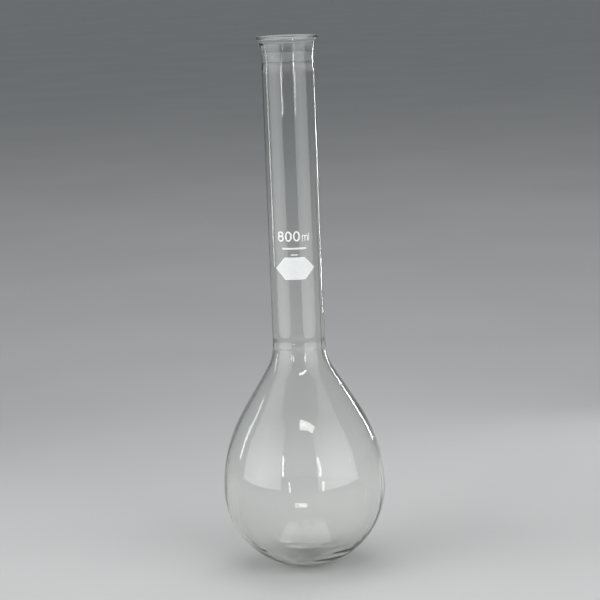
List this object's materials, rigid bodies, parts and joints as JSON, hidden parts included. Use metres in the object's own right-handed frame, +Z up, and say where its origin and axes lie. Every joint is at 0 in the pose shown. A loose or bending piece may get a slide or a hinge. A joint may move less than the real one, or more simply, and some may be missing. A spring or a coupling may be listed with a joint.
{
  "type": "kjeldahl flask",
  "caption": "Long-necked glass digestion flask with a pear-shaped round-bottomed bulb, a flared bead mouth and a white printed capacity and marking spot.",
  "frame": {"origin": "lowest point of the round bottom, on the axis of the neck", "axes": "+Z up the neck towards the mouth, the printed capacity faces -Y, +X to the right of its reader"},
  "size_m": [0.114, 0.114, 0.375],
  "materials": {
    "glass": "clear colourless borosilicate, fire polished",
    "white_enamel": "fired white enamel, satin"
  },
  "bodies": {
    "root": {"bulb": "glass", "neck_tube": "glass", "flared_mouth": "glass", "digit_eight": "white_enamel", "digit_zero_middle": "white_enamel", "digit_zero_right": "white_enamel", "unit_m": "white_enamel", "unit_l": "white_enamel", "marking_spot": "white_enamel", "name_rule": "white_enamel", "short_rule": "white_enamel"}
  },
  "joints": []
}
